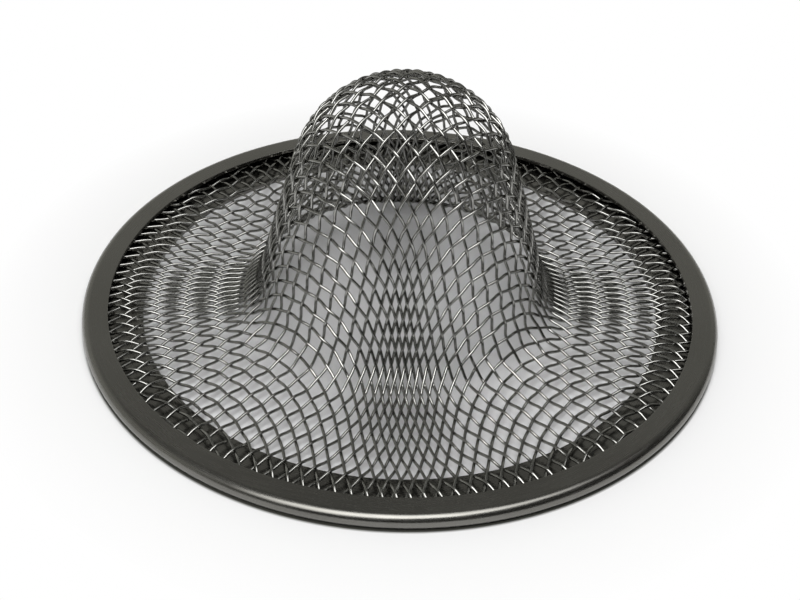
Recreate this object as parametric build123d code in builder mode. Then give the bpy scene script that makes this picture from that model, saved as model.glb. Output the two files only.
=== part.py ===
from build123d import *
import math
import os

os.makedirs("parts", exist_ok=True)

# Wire-mesh sink strainer, lying rim down with its domed basket up.
# Millimetres and degrees. The origin is on the surface that the rim lies on, under the crown.

# Rim band: one ring of sheet, a wide flange folded over the edge of the mesh.
rim_diameter = 72.0
sheet = 0.46
flange_width = 6.7
hem_width = 2.9
fold_flats = 5

# Wire cloth.
wire = 0.28                 # flat to flat
pitch = 1.75                # along a wire, from one crossing to the next
layer_gap = 0.34            # between the warp layer and the weft layer
wire_end_clearance = 0.7    # from the wire ends to the inside of the fold
warp_angle = 45.0           # from the X axis to the warp; the weft is square to the warp
chord_slack = 0.30          # how far a straight run may leave the cloth

# Basket: crown of a ball, cone wall, flare, slightly raised brim.
crown_radius = 12.15
basket_height = 28.4
wall_slope = 74.5           # from level
flare_radius = 4.7
brim_slope = 3.0            # from level

# Worked out from the above.
rim_radius = rim_diameter / 2
rim_height = 2 * sheet + 2 * wire + layer_gap
fold_radius = rim_height / 2
flange_inner = rim_radius - flange_width
hem_inner = rim_radius - hem_width
fold_centre = rim_radius - fold_radius
wire_reach = fold_centre - wire_end_clearance
cloth_seat = sheet + wire + layer_gap / 2
layer_offset = (wire + layer_gap) / 2
crown_centre = basket_height - layer_offset - wire / 2 - crown_radius


def level(angle):
    """Unit step outwards and down, at an angle from level."""
    return math.cos(math.radians(angle)), -math.sin(math.radians(angle))


# The cloth's middle surface is turned about Z. Its outline runs out from the crown: an arc to
# the wall's slope, a straight wall, an arc back to the brim's slope, the brim, the level seat.
wall_out, wall_down = level(wall_slope)
brim_out, brim_down = level(brim_slope)
wall_top = (-crown_radius * wall_down, crown_centre + crown_radius * wall_out)
# The flare's centre lies its own radius outside the wall's line and above the brim's line.
wall_line = -wall_down * wall_top[0] + wall_out * wall_top[1] + flare_radius
brim_line = -brim_down * flange_inner + brim_out * cloth_seat + flare_radius
spread = brim_down * wall_out - wall_down * brim_out
flare_centre = (
    (wall_line * brim_out - wall_out * brim_line) / spread,
    (brim_down * wall_line - wall_down * brim_line) / spread,
)
wall_foot = (flare_centre[0] + flare_radius * wall_down, flare_centre[1] - flare_radius * wall_out)
brim_start = (flare_centre[0] + flare_radius * brim_down, flare_centre[1] - flare_radius * brim_out)

crown_run = crown_radius * math.radians(wall_slope)
wall_run = crown_run + math.dist(wall_top, wall_foot)
flare_run = wall_run + flare_radius * math.radians(wall_slope - brim_slope)
brim_run = flare_run + math.dist(brim_start, (flange_inner, cloth_seat))
end_run = brim_run + wire_reach - flange_inner


def outline(run):
    """Radius, height and slope of the cloth at a distance along its outline from the crown."""
    if run < crown_run:
        slope = math.degrees(run / crown_radius)
        out, down = level(slope)
        return -crown_radius * down, crown_centre + crown_radius * out, slope
    if run < wall_run:
        step = run - crown_run
        return wall_top[0] + step * wall_out, wall_top[1] + step * wall_down, wall_slope
    if run < flare_run:
        slope = wall_slope - math.degrees((run - wall_run) / flare_radius)
        out, down = level(slope)
        return flare_centre[0] + flare_radius * down, flare_centre[1] - flare_radius * out, slope
    if run < brim_run:
        step = run - flare_run
        return brim_start[0] + step * brim_out, brim_start[1] + step * brim_down, brim_slope
    return flange_inner + run - brim_run, cloth_seat, 0


def place(run, bearing, offset=0):
    """Point of the cloth at a distance from the crown, on a bearing from the warp, or the point
    beside it, on the outer side for a positive offset. Bearings are in radians."""
    radius, height, slope = outline(run)
    out, down = level(slope)
    radius, height = radius - offset * down, height + offset * out
    return Vector(radius * math.cos(bearing), radius * math.sin(bearing), height)


def meridian_step(run):
    """The run at which the cloth is one pitch away, measured straight, on the same bearing."""
    start = place(run, 0)
    low, high = run, run + 2 * pitch
    for _ in range(40):
        middle = (low + high) / 2
        if (place(middle, 0) - start).length < pitch:
            low = middle
        else:
            high = middle
    return low


# Newton's steps to a crossing: where they start beyond the cells before it, the nudge that
# measures the slopes, and the miss that ends them, as shares of the pitch.
start_share = 0.25
nudge_share = 0.0001
miss_share = 0.00001


def crossing(left, right, run, bearing):
    """Point of the cloth one pitch from each of two crossings, found by Newton's steps."""
    nudge = pitch * nudge_share
    for _ in range(30):
        here = place(run, bearing)
        misses = ((here - left).length - pitch, (here - right).length - pitch)
        if max(abs(misses[0]), abs(misses[1])) < pitch * miss_share:
            break
        along = (place(run + nudge, bearing) - here) / nudge
        turn = nudge / math.hypot(here.X, here.Y)
        around = (place(run, bearing + turn) - here) / turn
        rows = []
        for anchor in (left, right):
            toward = (here - anchor).normalized()
            rows.append((toward.dot(along), toward.dot(around)))
        size = rows[0][0] * rows[1][1] - rows[0][1] * rows[1][0]
        run -= (misses[0] * rows[1][1] - misses[1] * rows[0][1]) / size
        bearing -= (rows[0][0] * misses[1] - rows[1][0] * misses[0]) / size
    return run, bearing


# The cloth drapes as a net of equal cells: the two wires through the crown follow meridians,
# and each further crossing is one pitch away from the two crossings before it.
# net[i, j] is (run, bearing) of the crossing i cells along one wire and j along the other,
# in one quarter of the cloth. The other quarters are its mirror images.
net = {(0, 0): (0, 0)}
count = 0
while net[count, 0][0] < end_run:
    count += 1
    net[count, 0] = (meridian_step(net[count - 1, 0][0]), 0)
    net[0, count] = (net[count, 0][0], math.pi / 2)
for i in range(1, count + 1):
    for j in range(1, i + 1):
        if (i - 1, j) not in net or (i, j - 1) not in net:
            continue
        if min(net[i - 1, j][0], net[i, j - 1][0]) > end_run:
            continue
        left, right, before = [place(*net[key]) for key in ((i - 1, j), (i, j - 1), (i - 1, j - 1))]
        guess = left + right - before
        run = max(net[i - 1, j][0], net[i, j - 1][0]) + pitch * start_share
        found = crossing(left, right, run, math.atan2(guess.Y, guess.X))
        net[i, j] = found
        net[j, i] = (found[0], math.pi / 2 - found[1])


def half_route(index):
    """Points (run, bearing) of half a wire: the crossings from its middle outwards, the edge of
    its seat on the flange, and its end, cut off inside the fold."""
    half = [net[index, 0]]
    for step in range(1, count + 1):
        if (index, step) not in net or half[-1][0] >= end_run:
            break
        inside, outside = half[-1], net[index, step]
        for stop in (brim_run, end_run):
            if inside[0] < stop < outside[0]:
                share = (stop - inside[0]) / (outside[0] - inside[0])
                half.append((stop, inside[1] + share * (outside[1] - inside[1])))
        if outside[0] < end_run:
            half.append(outside)
    return half


def strays(points, start, end):
    """Furthest distance of the points between two others from the straight run joining them."""
    straight = (points[end] - points[start]).normalized()
    furthest = 0
    for point in points[start + 1:end]:
        reach = point - points[start]
        furthest = max(furthest, (reach - straight * reach.dot(straight)).length)
    return furthest


def bends(route, offset):
    """The points where a wire bends: at its middle, at the edge of its seat, at its end, and at
    as few crossings between as the slack allows."""
    points = [place(run, bearing, offset) for run, bearing in route]
    kept = [0]
    while kept[-1] < len(points) - 1:
        last = kept[-1] + 1
        while last + 1 < len(points) and route[last][0] != brim_run:
            if strays(points, kept[-1], last + 1) > chord_slack:
                break
            last += 1
        kept.append(last)
    return [route[spot] for spot in kept]


def wire_sections(index, offset, turn):
    """Planes across a wire at its bends, each level with the cloth and halving the bend."""
    half = bends(half_route(index), offset)
    whole = [(run, -bearing) for run, bearing in reversed(half[1:])] + half
    turned = [(run, bearing + turn) for run, bearing in whole]
    points = [place(run, bearing, offset) for run, bearing in turned]
    planes = []
    for number, point in enumerate(points):
        before = points[max(number - 1, 0)]
        after = points[min(number + 1, len(points) - 1)]
        up = place(*turned[number], offset + wire) - point
        planes.append(Plane(origin=point, x_dir=up.cross(after - before), z_dir=after - before))
    return planes


# Rim band: flange, outer fold and hem, one outline turned about Z. The fold is a half round,
# laid out as even flats.
with BuildPart() as rim_band:
    with BuildSketch(Plane.XZ):
        with BuildLine():
            Polyline(
                (fold_centre, 0),
                (flange_inner, 0),
                (flange_inner, sheet),
                (fold_centre, sheet),
                (fold_centre, rim_height - sheet),
                (hem_inner, rim_height - sheet),
                (hem_inner, rim_height),
                (fold_centre, rim_height),
            )
            Polyline(*[
                (
                    fold_centre + fold_radius * math.sin(math.pi * flat / fold_flats),
                    fold_radius * (1 + math.cos(math.pi * flat / fold_flats)),
                )
                for flat in range(fold_flats + 1)
            ])
        make_face()
    revolve(axis=Axis.Z)
rim_band.part.label = "rim_band"
export_step(rim_band.part, "parts/rim_band.step")

# Wires: warp in the outer layer, weft in the inner layer, a quarter turn from the warp. The
# two wires that pass the crown at the same distance are mirror images and share a node.
wire_count = sum(1 for index in range(count + 1) if net[index, 0][0] < end_run - pitch / 2)
warp_turn = math.radians(warp_angle)
for layer, offset, turn in (
    ("warp", layer_offset, warp_turn),
    ("weft", -layer_offset, warp_turn + math.pi / 2),
):
    for index in range(wire_count):
        with BuildPart() as wires:
            for plane in wire_sections(index, offset, turn):
                with BuildSketch(plane):
                    Rectangle(wire, wire)
            loft(ruled=True)
            if index > 0:
                mirror(about=Plane.YZ.rotated((0, 0, math.degrees(turn))))
        wires.part.label = f"{layer}_wire_{index:02d}"
        export_step(wires.part, f"parts/{wires.part.label}.step")
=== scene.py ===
import math

import bpy
import numpy as np
from mathutils import Matrix, Vector


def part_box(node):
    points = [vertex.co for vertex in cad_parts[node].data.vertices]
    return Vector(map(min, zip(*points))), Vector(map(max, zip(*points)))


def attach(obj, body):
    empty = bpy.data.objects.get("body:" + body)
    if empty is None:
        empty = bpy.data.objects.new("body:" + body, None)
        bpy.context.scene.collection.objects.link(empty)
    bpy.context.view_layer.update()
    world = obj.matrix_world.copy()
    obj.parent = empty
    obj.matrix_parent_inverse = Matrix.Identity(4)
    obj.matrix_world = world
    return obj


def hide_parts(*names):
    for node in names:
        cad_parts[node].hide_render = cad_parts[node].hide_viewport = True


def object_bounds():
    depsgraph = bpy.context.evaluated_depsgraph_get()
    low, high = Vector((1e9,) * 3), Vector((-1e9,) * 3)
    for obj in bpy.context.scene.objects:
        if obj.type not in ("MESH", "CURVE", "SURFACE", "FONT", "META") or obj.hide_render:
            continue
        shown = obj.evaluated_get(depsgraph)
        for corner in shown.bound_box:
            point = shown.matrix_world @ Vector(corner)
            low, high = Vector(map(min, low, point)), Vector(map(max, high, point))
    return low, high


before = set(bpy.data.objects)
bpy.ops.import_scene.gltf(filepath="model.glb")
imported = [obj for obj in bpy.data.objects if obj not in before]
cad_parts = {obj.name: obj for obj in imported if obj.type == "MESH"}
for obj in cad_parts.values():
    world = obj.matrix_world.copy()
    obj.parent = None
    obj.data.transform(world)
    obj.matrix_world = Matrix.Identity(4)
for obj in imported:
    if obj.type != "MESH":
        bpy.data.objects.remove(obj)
cad_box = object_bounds()

# Wire-mesh sink strainer, lying rim down: wires woven over and under each other and draped to
# a domed basket, and the folded steel rim that grips their ends. Metres and radians.
MM = 0.001

# Rim band: its diameter and height are read from the frame.
RIM_LOW, RIM_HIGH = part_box("rim_band")
RIM_RADIUS = RIM_HIGH.x
RIM_HEIGHT = RIM_HIGH.z
SHEET = 0.46 * MM
CORNER = 0.06 * MM
FLANGE_WIDTH = 6.7 * MM
HEM_WIDTH = 2.9 * MM

# Wire cloth: its wires, their weave, and its lift off the flange beside the hem.
WIRE_RADIUS = 0.16 * MM
PITCH = 1.75 * MM
WARP_ANGLE = math.radians(45.0)
WIRE_END_CLEARANCE = 0.7 * MM
CRIMP = 0.14 * MM
LIFT = 0.28 * MM
LIFT_RISE = 1.4 * MM
LIFT_FALL = 7.0 * MM

# Basket: crown of a ball, cone wall, flare, slightly raised brim.
CROWN_RADIUS = 12.15 * MM
WALL_SLOPE = math.radians(74.5)
FLARE_RADIUS = 4.7 * MM
BRIM_SLOPE = math.radians(3.0)

# Worked out from the above.
FLANGE_INNER = RIM_RADIUS - FLANGE_WIDTH
HEM_INNER = RIM_RADIUS - HEM_WIDTH
FOLD_RADIUS = RIM_HEIGHT / 2
FOLD_CENTRE = RIM_RADIUS - FOLD_RADIUS
CLOTH_SEAT = RIM_HEIGHT / 2
BASKET_TOP = cad_box[1].z - WIRE_RADIUS - CRIMP
CROWN_CENTRE = BASKET_TOP - CROWN_RADIUS


def level(slope):
    """Unit step outwards and down, at a slope from level."""
    return math.cos(slope), -math.sin(slope)


WALL_OUT, WALL_DOWN = level(WALL_SLOPE)
BRIM_OUT, BRIM_DOWN = level(BRIM_SLOPE)
WALL_TOP = (-CROWN_RADIUS * WALL_DOWN, CROWN_CENTRE + CROWN_RADIUS * WALL_OUT)
# The flare's centre lies its own radius outside the wall's line and above the brim's line.
WALL_LINE = -WALL_DOWN * WALL_TOP[0] + WALL_OUT * WALL_TOP[1] + FLARE_RADIUS
BRIM_LINE = -BRIM_DOWN * FLANGE_INNER + BRIM_OUT * CLOTH_SEAT + FLARE_RADIUS
SPREAD = BRIM_DOWN * WALL_OUT - WALL_DOWN * BRIM_OUT
FLARE_CENTRE = (
    (WALL_LINE * BRIM_OUT - WALL_OUT * BRIM_LINE) / SPREAD,
    (BRIM_DOWN * WALL_LINE - WALL_DOWN * BRIM_LINE) / SPREAD,
)
WALL_FOOT = (
    FLARE_CENTRE[0] + FLARE_RADIUS * WALL_DOWN,
    FLARE_CENTRE[1] - FLARE_RADIUS * WALL_OUT,
)
BRIM_START = (
    FLARE_CENTRE[0] + FLARE_RADIUS * BRIM_DOWN,
    FLARE_CENTRE[1] - FLARE_RADIUS * BRIM_OUT,
)
CROWN_RUN = CROWN_RADIUS * WALL_SLOPE
WALL_RUN = CROWN_RUN + math.dist(WALL_TOP, WALL_FOOT)
FLARE_RUN = WALL_RUN + FLARE_RADIUS * (WALL_SLOPE - BRIM_SLOPE)
BRIM_RUN = FLARE_RUN + math.dist(BRIM_START, (FLANGE_INNER, CLOTH_SEAT))
END_RUN = BRIM_RUN + FOLD_CENTRE - WIRE_END_CLEARANCE - FLANGE_INNER
HEM_RUN = BRIM_RUN + HEM_INNER - FLANGE_INNER

# How finely the surfaces are laid out.
STEPS_PER_CELL = 8
WIRE_SIDES = 8
RIM_STEPS = 540
FOLD_STEPS = 32
HEM_STEPS = 12
FLANGE_STEPS = 16
SLOT_STEPS = 6
CORNER_STEPS = 4
CUT_STEPS = 6

# The net's working: cells and pitches beyond the wires' ends, where Newton's steps start as a
# share of the pitch, and how many steps there are.
SPARE_CELLS = 3
SPARE_PITCHES = 2
START_SHARE = 0.25
MERIDIAN_STEPS = 12
CROSSING_STEPS = 25


def outline(run):
    """Radius, height and slope of the cloth's middle surface, at runs along its outline from
    the crown: an arc of the crown's ball, a straight wall, the flare's arc, a straight brim,
    and a level seat on the flange."""
    stretches = [run < CROWN_RUN, run < WALL_RUN, run < FLARE_RUN, run < BRIM_RUN]
    slope = np.select(stretches, [
        run / CROWN_RADIUS,
        np.full_like(run, WALL_SLOPE),
        WALL_SLOPE - (run - WALL_RUN) / FLARE_RADIUS,
        np.full_like(run, BRIM_SLOPE),
    ], 0.0)
    radius = np.select(stretches, [
        CROWN_RADIUS * np.sin(slope),
        WALL_TOP[0] + (run - CROWN_RUN) * WALL_OUT,
        FLARE_CENTRE[0] - FLARE_RADIUS * np.sin(slope),
        BRIM_START[0] + (run - FLARE_RUN) * BRIM_OUT,
    ], FLANGE_INNER + run - BRIM_RUN)
    height = np.select(stretches, [
        CROWN_CENTRE + CROWN_RADIUS * np.cos(slope),
        WALL_TOP[1] + (run - CROWN_RUN) * WALL_DOWN,
        FLARE_CENTRE[1] - FLARE_RADIUS * np.cos(slope),
        BRIM_START[1] + (run - FLARE_RUN) * BRIM_DOWN,
    ], CLOTH_SEAT)
    return radius, height, slope


def around(radius, bearing, height):
    """Points, or directions, at a radius, bearing and height about Z."""
    return np.stack([radius * np.cos(bearing), radius * np.sin(bearing), height], axis=-1)


def on_cloth(run, bearing):
    """Points of the cloth at runs and bearings."""
    radius, height, _ = outline(run)
    return around(radius, bearing, height)


def net_quarter(count):
    """Run and bearing of the crossings in one quarter of the cloth. Wires 0 follow meridians
    through the crown, a pitch from crossing to crossing. Every other crossing is one pitch
    from the two before it, found by Newton's steps for a whole diagonal at a time."""
    run = np.full((count + 1, count + 1), np.nan)
    bearing = np.full_like(run, np.nan)
    run[0, 0] = 0.0
    bearing[:, 0] = 0.0
    bearing[0, :] = math.pi / 2
    for step in range(count):
        start = run[step, 0]
        ahead = start + PITCH
        for _ in range(MERIDIAN_STEPS):
            reach = on_cloth(np.array([ahead]), 0.0) - on_cloth(np.array([start]), 0.0)
            ahead += PITCH - np.linalg.norm(reach)
        run[step + 1, 0] = run[0, step + 1] = ahead
    for diagonal in range(2, 2 * count + 1):
        i = np.arange(max(1, diagonal - count), min(diagonal - 1, count) + 1)
        j = diagonal - i
        wanted = np.fmin(run[i - 1, j], run[i, j - 1]) < END_RUN + SPARE_PITCHES * PITCH
        i, j = i[wanted], j[wanted]
        left = on_cloth(run[i - 1, j], bearing[i - 1, j])
        right = on_cloth(run[i, j - 1], bearing[i, j - 1])
        guess = left + right - on_cloth(run[i - 1, j - 1], bearing[i - 1, j - 1])
        here_run = np.maximum(run[i - 1, j], run[i, j - 1]) + PITCH * START_SHARE
        here_bearing = np.arctan2(guess[:, 1], guess[:, 0])
        for _ in range(CROSSING_STEPS):
            radius, height, slope = outline(here_run)
            here = around(radius, here_bearing, height)
            along = around(np.cos(slope), here_bearing, -np.sin(slope))
            turning = around(radius, here_bearing + math.pi / 2, 0.0 * radius)
            rows, misses = [], []
            for anchor in (left, right):
                reach = here - anchor
                length = np.linalg.norm(reach, axis=1)
                toward = reach / length[:, None]
                rows.append(((toward * along).sum(1), (toward * turning).sum(1)))
                misses.append(length - PITCH)
            size = rows[0][0] * rows[1][1] - rows[0][1] * rows[1][0]
            here_run = here_run - (misses[0] * rows[1][1] - misses[1] * rows[0][1]) / size
            here_bearing = here_bearing - (rows[0][0] * misses[1] - rows[1][0] * misses[0]) / size
        run[i, j], bearing[i, j] = here_run, here_bearing
    return run, bearing


def net():
    """Points, normals and runs of every crossing, as square arrays whose middle entry is the
    crown: the quarter net and its mirror images, turned to the warp's angle."""
    count = math.ceil(END_RUN / PITCH) + SPARE_CELLS
    run, bearing = net_quarter(count)
    away = np.abs(np.arange(-count, count + 1))
    side = np.sign(np.arange(-count, count + 1))
    run, bearing = run[np.ix_(away, away)], bearing[np.ix_(away, away)]
    radius, height, slope = outline(run)
    x_side, y_side = side[:, None], side[None, :]
    x, y = x_side * np.cos(bearing), y_side * np.sin(bearing)
    cos, sin = math.cos(WARP_ANGLE), math.sin(WARP_ANGLE)
    x, y = x * cos - y * sin, x * sin + y * cos
    points = np.stack([radius * x, radius * y, height], axis=-1)
    normals = np.stack([np.sin(slope) * x, np.sin(slope) * y, np.cos(slope)], axis=-1)
    return points, normals, run


def smooth_between(rows, place):
    """Rows read at fractional places by a cubic through four neighbours (Catmull-Rom)."""
    whole = np.clip(np.floor(place).astype(int), 1, len(rows) - 3)
    part = (place - whole)[:, None]
    before, start, end, after = (rows[whole + shift] for shift in (-1, 0, 1, 2))
    return start + 0.5 * part * (
        end - before
        + part * (2 * before - 5 * start + 4 * end - after
                  + part * (3 * (start - end) + after - before))
    )


def tube(centres, ups, radius):
    """A round tube along a path: at each centre, a ring of the radius across the path, from
    the up direction round. Both ends are closed flat. Returns points and four-cornered faces."""
    along = np.gradient(centres, axis=0)
    along /= np.linalg.norm(along, axis=1)[:, None]
    ups = ups - (ups * along).sum(1)[:, None] * along
    ups /= np.linalg.norm(ups, axis=1)[:, None]
    across = np.cross(along, ups)
    turn = np.arange(WIRE_SIDES) * (2 * math.pi / WIRE_SIDES)
    cos, sin = np.cos(turn)[None, :, None], np.sin(turn)[None, :, None]
    ring = cos * ups[:, None] + sin * across[:, None]
    points = (centres[:, None] + radius * ring).reshape(-1, 3)
    ring_start = np.arange(len(centres) - 1)[:, None] * WIRE_SIDES
    spoke = np.arange(WIRE_SIDES)[None, :]
    following = (spoke + 1) % WIRE_SIDES
    walls = np.stack([
        ring_start + spoke, ring_start + following,
        ring_start + WIRE_SIDES + following, ring_start + WIRE_SIDES + spoke,
    ], axis=-1).reshape(-1, 4)
    # Each end is closed by strips from one side of the ring to the other.
    low = np.arange(WIRE_SIDES // 2 - 1)
    strips = np.stack([low, WIRE_SIDES - 1 - low, WIRE_SIDES - 2 - low, low + 1], axis=-1)
    last_ring = (len(centres) - 1) * WIRE_SIDES
    faces = np.concatenate([walls, strips, strips[:, ::-1] + last_ring])
    return points, faces


def make_piece(name, points, faces, material):
    """A mesh of four-cornered faces, at the origin, riding on the part."""
    mesh = bpy.data.meshes.new(name)
    mesh.vertices.add(len(points))
    mesh.vertices.foreach_set("co", points.astype(np.float32).ravel())
    mesh.loops.add(faces.size)
    mesh.loops.foreach_set("vertex_index", faces.astype(np.int32).ravel())
    mesh.polygons.add(len(faces))
    mesh.polygons.foreach_set("loop_start", np.arange(0, faces.size, 4, dtype=np.int32))
    mesh.polygons.foreach_set("use_smooth", np.full(len(faces), True))
    mesh.update(calc_edges=True)
    mesh.validate()
    mesh.materials.append(material)
    piece = bpy.data.objects.new(name, mesh)
    bpy.context.scene.collection.objects.link(piece)
    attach(piece, "root")
    return piece


def smooth_step(value, start, end):
    """0 at a start and 1 at an end, with an even slope between that eases off at both."""
    share = np.clip((value - start) / (end - start), 0.0, 1.0)
    return share * share * (3.0 - 2.0 * share)


def lift(run):
    """How far the cloth stands over its drawn surface where it leaves the rim: nothing in the
    slot and up to the hem's edge, then all of the lift, then nothing again on the brim."""
    rising = 1.0 - smooth_step(run, HEM_RUN - LIFT_RISE, HEM_RUN)
    return LIFT * rising * smooth_step(run, HEM_RUN - LIFT_RISE - LIFT_FALL, HEM_RUN - LIFT_RISE)


def woven_wire(points, normals, run, parity):
    """One wire: through its crossings, and over and under them in turn. Its height over the
    cloth is the crimp times the cosine of half a turn per cell."""
    middle = len(points) // 2
    half_run = run[middle:][np.isfinite(run[middle:])]
    reached = np.interp(END_RUN, half_run, np.arange(len(half_run)))
    steps = int(np.ceil(reached * STEPS_PER_CELL))
    cells = np.linspace(-reached, reached, 2 * steps + 1)
    centres = smooth_between(points, cells + middle)
    ups = smooth_between(normals, cells + middle)
    ups /= np.linalg.norm(ups, axis=1)[:, None]
    over = CRIMP * (1 - 2 * (parity % 2)) * np.cos(math.pi * cells)
    over += lift(np.interp(np.abs(cells), np.arange(len(half_run)), half_run))
    return tube(centres + over[:, None] * ups, ups, WIRE_RADIUS)


def woven_cloth(material):
    """Each wire of the CAD model, as a woven wire, in one piece with its mirror image."""
    points, normals, run = net()
    middle = len(points) // 2
    for layer, parity, swap in (("warp", 1, False), ("weft", 0, True)):
        if swap:
            points, normals, run = (x.swapaxes(0, 1) for x in (points, normals, run))
        for name in sorted(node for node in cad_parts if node.startswith(layer)):
            index = int(name.rpartition("_")[2])
            made, start = [], 0
            for row in sorted({middle - index, middle + index}):
                wire_points, faces = woven_wire(
                    points[row], normals[row], run[row], index + parity)
                made.append((wire_points, faces + start))
                start += len(wire_points)
            piece = make_piece(f"woven_{name}", np.concatenate([m[0] for m in made]),
                               np.concatenate([m[1] for m in made]), material)
            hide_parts(name)


def arc(centre, radius, start, end, steps):
    """Points of an arc in the plane of the rim's outline, both ends included."""
    turn = np.linspace(start, end, steps + 1)
    across, up = radius * np.cos(turn), radius * np.sin(turn)
    return np.stack([centre[0] + across, centre[1] + up], axis=-1)


def flat(start, end, steps):
    """Points between two corners of the outline, closer together towards both, so that the
    shading turns only at the corners."""
    share = (1 - np.cos(np.linspace(0, math.pi, steps + 1)[1:-1])) / 2
    return np.array(start) + share[:, None] * (np.array(end) - np.array(start))


def cut_edge(inner, top):
    """The sheet's cut edge, from its top surface down: a flat between two small rounded
    corners."""
    upper, lower = top - CORNER, top - SHEET + CORNER
    return np.concatenate([
        arc((inner + CORNER, upper), CORNER, math.pi / 2, math.pi, CORNER_STEPS),
        flat((inner, upper), (inner, lower), CUT_STEPS),
        arc((inner + CORNER, lower), CORNER, math.pi, 3 * math.pi / 2, CORNER_STEPS),
    ])


def folded_rim(material):
    """The rim's outline turned about Z: a half round fold, the hem on top, the slot that grips
    the wires and the flange below."""
    half = math.pi / 2
    slot_top = RIM_HEIGHT - SHEET
    ring = np.concatenate([
        arc((FOLD_CENTRE, FOLD_RADIUS), FOLD_RADIUS, -half, half, FOLD_STEPS),
        flat((FOLD_CENTRE, RIM_HEIGHT), (HEM_INNER + CORNER, RIM_HEIGHT), HEM_STEPS),
        cut_edge(HEM_INNER, RIM_HEIGHT),
        flat((HEM_INNER + CORNER, slot_top), (FOLD_CENTRE, slot_top), HEM_STEPS),
        [[FOLD_CENTRE, slot_top]],
        flat((FOLD_CENTRE, slot_top), (FOLD_CENTRE, SHEET), SLOT_STEPS),
        [[FOLD_CENTRE, SHEET]],
        flat((FOLD_CENTRE, SHEET), (FLANGE_INNER + CORNER, SHEET), FLANGE_STEPS),
        cut_edge(FLANGE_INNER, SHEET),
        flat((FLANGE_INNER + CORNER, 0.0), (FOLD_CENTRE, 0.0), FLANGE_STEPS),
    ])
    turn = np.arange(RIM_STEPS)[:, None] * (2 * math.pi / RIM_STEPS)
    heights = np.broadcast_to(ring[:, 1], (RIM_STEPS, len(ring)))
    points = around(ring[:, 0], turn, heights)
    spot = np.arange(points.size // 3).reshape(RIM_STEPS, len(ring))
    beyond = np.roll(spot, -1, axis=0)
    faces = np.stack([
        spot, beyond, np.roll(beyond, -1, axis=1), np.roll(spot, -1, axis=1),
    ], axis=-1)
    piece = make_piece("folded_rim_band", points.reshape(-1, 3), faces.reshape(-1, 4), material)
    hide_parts("rim_band")


def material_nodes(name):
    """A new material, its nodes and links, and its shader."""
    material = bpy.data.materials.new(name)
    material.use_nodes = True
    nodes, links = material.node_tree.nodes, material.node_tree.links
    return material, nodes, links, nodes["Principled BSDF"]


def noise(nodes, links, scale, detail, coordinates):
    """Noise with a number of turns per metre, read at coordinates."""
    texture = nodes.new("ShaderNodeTexNoise")
    texture.inputs["Scale"].default_value = scale
    texture.inputs["Detail"].default_value = detail
    links.new(coordinates, texture.inputs["Vector"])
    return texture


def ramp(nodes, links, value, stops):
    """Colours at stops between 0 and 1, and blends between them."""
    made = nodes.new("ShaderNodeValToRGB")
    while len(made.color_ramp.elements) < len(stops):
        made.color_ramp.elements.new(0.5)
    for element, (position, colour) in zip(made.color_ramp.elements, stops):
        element.position = position
        element.color = (*colour, 1.0)
    links.new(value, made.inputs["Fac"])
    return made


# Steel: tones and roughness at low and high values of the noise, and its turns per metre.
WIRE_TONE = ((0.3, (0.27, 0.269, 0.255)), (0.7, (0.38, 0.378, 0.361)))
WIRE_TONE_TURNS = 900.0
WIRE_SHINE = ((0.3, (0.13,) * 3), (0.7, (0.22,) * 3))
WIRE_SHINE_TURNS = 2500.0
WIRE_EDGE_TINT = (0.1, 0.1, 0.09, 1.0)
SHEET_TONE = ((0.35, (0.175, 0.171, 0.158)), (0.65, (0.205, 0.201, 0.186)))
SHEET_TONE_TURNS = 60.0
SHEET_SHINE = ((0.3, (0.22,) * 3), (0.7, (0.31,) * 3))

# The rim's grain: turns of the noise round the rim and across it, its detail, depth and
# strength.
GRAIN_ALONG = 14.0
GRAIN_ACROSS = 5000.0
GRAIN_DETAIL = 3.0
GRAIN_DEPTH = 0.006 * MM
GRAIN_STRENGTH = 0.5


def drawn_wire_steel():
    """Bright drawn stainless wire, a little uneven in tone and shine."""
    material, nodes, links, shader = material_nodes("drawn_wire_steel")
    place = nodes.new("ShaderNodeTexCoord").outputs["Object"]
    shader.inputs["Metallic"].default_value = 1.0
    cloudy = noise(nodes, links, WIRE_TONE_TURNS, 3.0, place).outputs["Fac"]
    tone = ramp(nodes, links, cloudy, WIRE_TONE)
    links.new(tone.outputs["Color"], shader.inputs["Base Color"])
    fine = noise(nodes, links, WIRE_SHINE_TURNS, 2.0, place).outputs["Fac"]
    shine = ramp(nodes, links, fine, WIRE_SHINE)
    links.new(shine.outputs["Color"], shader.inputs["Roughness"])
    shader.inputs["Specular Tint"].default_value = WIRE_EDGE_TINT
    return material


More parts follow.
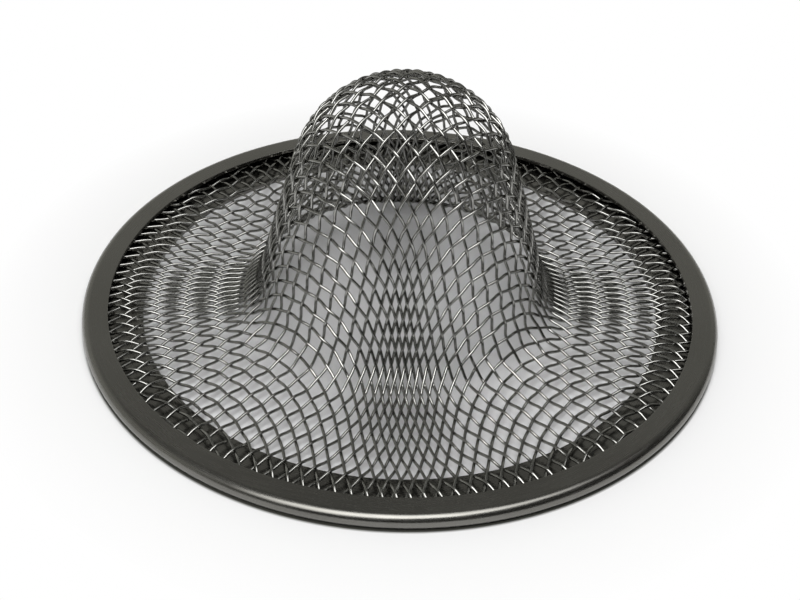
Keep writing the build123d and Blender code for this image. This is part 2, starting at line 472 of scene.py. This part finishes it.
def ring_grain(nodes, links):
    """Noise drawn out into fine lines that run round the rim: it changes quickly with the
    distance from the axis and with the height, and slowly with the bearing."""
    place = nodes.new("ShaderNodeTexCoord").outputs["Object"]
    split = nodes.new("ShaderNodeSeparateXYZ")
    links.new(place, split.inputs["Vector"])
    flat_place = nodes.new("ShaderNodeCombineXYZ")
    links.new(split.outputs["X"], flat_place.inputs["X"])
    links.new(split.outputs["Y"], flat_place.inputs["Y"])
    bearing = nodes.new("ShaderNodeVectorMath")
    bearing.operation = "NORMALIZE"
    links.new(flat_place.outputs["Vector"], bearing.inputs[0])
    slow = nodes.new("ShaderNodeVectorMath")
    slow.operation = "SCALE"
    slow.inputs["Scale"].default_value = GRAIN_ALONG
    links.new(bearing.outputs["Vector"], slow.inputs[0])
    radius = nodes.new("ShaderNodeVectorMath")
    radius.operation = "LENGTH"
    links.new(flat_place.outputs["Vector"], radius.inputs[0])
    across = nodes.new("ShaderNodeMath")
    across.operation = "SUBTRACT"
    links.new(radius.outputs["Value"], across.inputs[0])
    links.new(split.outputs["Z"], across.inputs[1])
    quick = nodes.new("ShaderNodeMath")
    quick.operation = "MULTIPLY"
    quick.inputs[1].default_value = GRAIN_ACROSS
    links.new(across.outputs["Value"], quick.inputs[0])
    lines = nodes.new("ShaderNodeCombineXYZ")
    links.new(quick.outputs["Value"], lines.inputs["Z"])
    both = nodes.new("ShaderNodeVectorMath")
    both.operation = "ADD"
    links.new(slow.outputs["Vector"], both.inputs[0])
    links.new(lines.outputs["Vector"], both.inputs[1])
    return noise(nodes, links, 1.0, GRAIN_DETAIL, both.outputs["Vector"]).outputs["Fac"]


def folded_sheet_steel():
    """Satin stainless sheet with a fine grain round the rim."""
    material, nodes, links, shader = material_nodes("folded_sheet_steel")
    place = nodes.new("ShaderNodeTexCoord").outputs["Object"]
    shader.inputs["Metallic"].default_value = 1.0
    cloudy = noise(nodes, links, SHEET_TONE_TURNS, 4.0, place).outputs["Fac"]
    tone = ramp(nodes, links, cloudy, SHEET_TONE)
    links.new(tone.outputs["Color"], shader.inputs["Base Color"])
    grain = ring_grain(nodes, links)
    shine = ramp(nodes, links, grain, SHEET_SHINE)
    links.new(shine.outputs["Color"], shader.inputs["Roughness"])
    bump = nodes.new("ShaderNodeBump")
    bump.inputs["Strength"].default_value = GRAIN_STRENGTH
    bump.inputs["Distance"].default_value = GRAIN_DEPTH
    links.new(grain, bump.inputs["Height"])
    links.new(bump.outputs["Normal"], shader.inputs["Normal"])
    return material


# The floor's colour in the open, where it turns plain white for the camera, the painted shadow
# where the rim meets it, and the painted shade greys under the cloth, at distances from the
# middle of that painted shade.
FLOOR_HALF = 3.0
FLOOR_ROUGHNESS = 0.9
FLOOR_GLOSS = 0.2
OPEN_FLOOR = (0.93, 0.93, 0.935)
WHITE_REACH = (36.5 * MM, 48 * MM)
WHITE_BEHIND = (-15 * MM, 25 * MM)
# Painted shadow: a dark ring in the floor's colour under the rim and just past its edge.
PAINTED_CONTACT_SHADOW = (0.08, 0.08, 0.07)
PAINTED_CONTACT_WIDTH = 0.3 * MM
RAMP_REACH = 60 * MM
PAINTED_SHADE_MIDDLE = (0.0, 10.5 * MM, 0.0)
# Painted shade: greys in the floor's colour under the cloth, darkest a little behind its middle.
PAINTED_SHADE_GREYS = (
    (3 * MM, (0.40, 0.40, 0.404)),
    (7 * MM, (0.58, 0.58, 0.587)),
    (14 * MM, (0.63, 0.63, 0.637)),
    (22 * MM, (0.72, 0.72, 0.728)),
    (38 * MM, (0.77, 0.77, 0.778)),
)


def distance_from(middle, nodes, links):
    """How far the surface is from a point."""
    reach = nodes.new("ShaderNodeVectorMath")
    reach.operation = "DISTANCE"
    reach.inputs[1].default_value = middle
    links.new(nodes.new("ShaderNodeTexCoord").outputs["Object"], reach.inputs[0])
    return reach.outputs["Value"]


def between(value, start, end, nodes, links):
    """0 at a start and 1 at an end, and even between."""
    made = nodes.new("ShaderNodeMapRange")
    made.inputs["From Min"].default_value, made.inputs["From Max"].default_value = start, end
    links.new(value, made.inputs["Value"])
    return made.outputs["Result"]


def blend(first, second, share, nodes, links):
    """From a first colour to a second, plain one."""
    made = nodes.new("ShaderNodeMix")
    made.data_type = "RGBA"
    made.inputs["B"].default_value = (*second, 1.0)
    links.new(share, made.inputs["Factor"])
    links.new(first, made.inputs["A"])
    return made.outputs["Result"]


def worked_out(operation, first, second, nodes, links):
    """The product of two values, or the larger of them, as the operation says."""
    node = nodes.new("ShaderNodeMath")
    node.operation = operation
    links.new(first, node.inputs[0])
    links.new(second, node.inputs[1])
    return node.outputs["Value"]


def floor():
    """A pale floor, far larger than the view, with painted shade in its colour under the cloth,
    on top of the shadow that the lamp casts. The painted grey ends under the rim."""
    half = FLOOR_HALF
    corners = np.array([[-half, -half, 0], [half, -half, 0], [half, half, 0], [-half, half, 0]])
    mesh = bpy.data.meshes.new("floor")
    mesh.from_pydata(corners.tolist(), [], [(0, 1, 2, 3)])
    material, nodes, links, shader = material_nodes("pale_floor_painted_shade")
    # Painted shade: the floor's colour turns grey under the cloth, around the middle of that
    # shade.
    middle_reach = distance_from(PAINTED_SHADE_MIDDLE, nodes, links)
    shade = ramp(nodes, links, between(middle_reach, 0.0, RAMP_REACH, nodes, links),
                 [(reach / RAMP_REACH, grey) for reach, grey in PAINTED_SHADE_GREYS])
    reach = distance_from((0.0, 0.0, 0.0), nodes, links)
    # Painted shadow: the floor turns dark under the rim, then pale again just past the rim's
    # edge.
    painted_contact_share = between(reach, FLANGE_INNER + FLANGE_WIDTH / 3, HEM_INNER, nodes, links)
    with_painted_shade = blend(shade.outputs["Color"], PAINTED_CONTACT_SHADOW, painted_contact_share, nodes, links)
    rim_edge = (RIM_RADIUS - PAINTED_CONTACT_WIDTH / 2, RIM_RADIUS + PAINTED_CONTACT_WIDTH / 2)
    outside = between(reach, *rim_edge, nodes, links)
    tone = blend(with_painted_shade, OPEN_FLOOR, outside, nodes, links)
    links.new(tone, shader.inputs["Base Color"])
    shader.inputs["Roughness"].default_value = FLOOR_ROUGHNESS
    shader.inputs["Specular IOR Level"].default_value = FLOOR_GLOSS

    # Away from the object the floor is plain white to the camera, and behind the object in
    # reflections too.
    split = nodes.new("ShaderNodeSeparateXYZ")
    links.new(nodes.new("ShaderNodeTexCoord").outputs["Object"], split.inputs["Vector"])
    away = between(reach, *WHITE_REACH, nodes, links)
    behind = between(split.outputs["Y"], *WHITE_BEHIND, nodes, links)
    rays = nodes.new("ShaderNodeLightPath").outputs
    glossy, through = rays["Is Glossy Ray"], rays["Is Transmission Ray"]
    mirrored = worked_out("MAXIMUM", glossy, through, nodes, links)
    mirrored = worked_out("MULTIPLY", mirrored, behind, nodes, links)
    seen = worked_out("MAXIMUM", rays["Is Camera Ray"], mirrored, nodes, links)
    seen = worked_out("MULTIPLY", seen, away, nodes, links)
    white = nodes.new("ShaderNodeEmission")
    whitened = nodes.new("ShaderNodeMixShader")
    links.new(seen, whitened.inputs["Fac"])
    links.new(shader.outputs["BSDF"], whitened.inputs[1])
    links.new(white.outputs["Emission"], whitened.inputs[2])
    links.new(whitened.outputs["Shader"], nodes["Material Output"].inputs["Surface"])
    mesh.materials.append(material)
    plane = bpy.data.objects.new("floor", mesh)
    bpy.context.scene.collection.objects.link(plane)


# Studio: the lamp over the object, and the room that its metal reflects.
SOFTBOX_SIZE = (0.97, 0.30)
SOFTBOX_PLACE = Vector((-0.01, -0.172, 0.42))
SOFTBOX_TURN = math.radians(36.0)
SOFTBOX_SPREAD = math.radians(95.0)
SOFTBOX_POWER = 1.09
# The room's tone at heights from level to straight up, its lightest side, and how light the
# far side is against it, with the span over which the one turns into the other.
ROOM_BY_HEIGHT = ((0.0, (0.50, 0.50, 0.465)), (0.50, (0.50, 0.50, 0.465)),
                  (0.72, (0.21, 0.21, 0.20)), (0.90, (0.17, 0.17, 0.16)))
ROOM_LIGHT_SIDE = (-0.57, 0.82, 0.0)
ROOM_DARK_SHARE = 0.12
ROOM_TURNS = (-0.3, 0.4)


def studio():
    """One soft lamp overhead, towards the front, in a dim room that is lightest at the back and
    on the left. Metal reflects the dim room, and the camera sees plain white in its place."""
    lamp = bpy.data.lights.new("softbox", "AREA")
    lamp.shape = "ELLIPSE"
    lamp.size, lamp.size_y = SOFTBOX_SIZE
    lamp.spread = SOFTBOX_SPREAD
    lamp.energy = SOFTBOX_POWER
    holder = bpy.data.objects.new("softbox", lamp)
    straight = SOFTBOX_PLACE.to_track_quat("Z", "Y").to_matrix()
    aimed = straight @ Matrix.Rotation(SOFTBOX_TURN, 3, "Z")
    holder.matrix_world = Matrix.Translation(SOFTBOX_PLACE) @ aimed.to_4x4()
    bpy.context.scene.collection.objects.link(holder)

    world = bpy.data.worlds.new("dim_room")
    world.use_nodes = True
    nodes, links = world.node_tree.nodes, world.node_tree.links
    direction = nodes.new("ShaderNodeTexCoord").outputs["Generated"]
    split = nodes.new("ShaderNodeSeparateXYZ")
    links.new(direction, split.inputs["Vector"])
    by_height = ramp(nodes, links, split.outputs["Z"], ROOM_BY_HEIGHT)
    toward = nodes.new("ShaderNodeVectorMath")
    toward.operation = "DOT_PRODUCT"
    toward.inputs[1].default_value = ROOM_LIGHT_SIDE
    links.new(direction, toward.inputs[0])
    side = nodes.new("ShaderNodeMapRange")
    side.inputs["From Min"].default_value, side.inputs["From Max"].default_value = ROOM_TURNS
    side.inputs["To Min"].default_value = ROOM_DARK_SHARE
    links.new(toward.outputs["Value"], side.inputs["Value"])
    links.new(by_height.outputs["Color"], nodes["Background"].inputs["Color"])
    links.new(side.outputs["Result"], nodes["Background"].inputs["Strength"])
    backdrop = nodes.new("ShaderNodeBackground")
    backdrop.inputs["Color"].default_value = (1.0, 1.0, 1.0, 1.0)
    seen = nodes.new("ShaderNodeMixShader")
    links.new(nodes.new("ShaderNodeLightPath").outputs["Is Camera Ray"], seen.inputs["Fac"])
    links.new(nodes["Background"].outputs["Background"], seen.inputs[1])
    links.new(backdrop.outputs["Background"], seen.inputs[2])
    links.new(seen.outputs["Shader"], nodes["World Output"].inputs["Surface"])
    bpy.context.scene.world = world


# Camera: a long lens, from the front and above.
CAMERA_DISTANCE = 4.49 * RIM_RADIUS
CAMERA_ELEVATION = math.radians(37.73)
CAMERA_AZIMUTH = math.radians(-1.2)
CAMERA_ROLL = 0.0312
FOCAL_PIXELS = 1400
PHOTO_WIDTH, PHOTO_HEIGHT = 800, 600
ORIGIN_PIXEL = (400.6, 301.2)
SENSOR = 36.0


def camera():
    """The camera that sees the origin at its pixel of the picture, from its distance, azimuth
    and elevation, rolled by a small angle."""
    lens = bpy.data.cameras.new("camera")
    lens.sensor_width = SENSOR
    lens.lens = SENSOR * FOCAL_PIXELS / PHOTO_WIDTH
    lens.clip_start, lens.clip_end = 0.01, 10.0
    eye = CAMERA_DISTANCE * Vector((
        math.sin(CAMERA_AZIMUTH) * math.cos(CAMERA_ELEVATION),
        -math.cos(CAMERA_AZIMUTH) * math.cos(CAMERA_ELEVATION),
        math.sin(CAMERA_ELEVATION),
    ))
    straight = eye.to_track_quat("Z", "Y").to_matrix()
    rolled = straight @ Matrix.Rotation(CAMERA_ROLL, 3, "Z")
    across = (ORIGIN_PIXEL[0] - PHOTO_WIDTH / 2) / FOCAL_PIXELS
    up = (PHOTO_HEIGHT / 2 - ORIGIN_PIXEL[1]) / FOCAL_PIXELS
    # Turning the camera left moves the picture right, and turning it up moves it down.
    aimed = rolled @ Matrix.Rotation(across, 3, "Y") @ Matrix.Rotation(-up, 3, "X")
    holder = bpy.data.objects.new("camera", lens)
    holder.matrix_world = Matrix.Translation(eye) @ aimed.to_4x4()
    bpy.context.scene.collection.objects.link(holder)
    bpy.context.scene.camera = holder


woven_cloth(drawn_wire_steel())
folded_rim(folded_sheet_steel())
floor()
studio()
camera()
bpy.context.scene.view_settings.view_transform = "Standard"
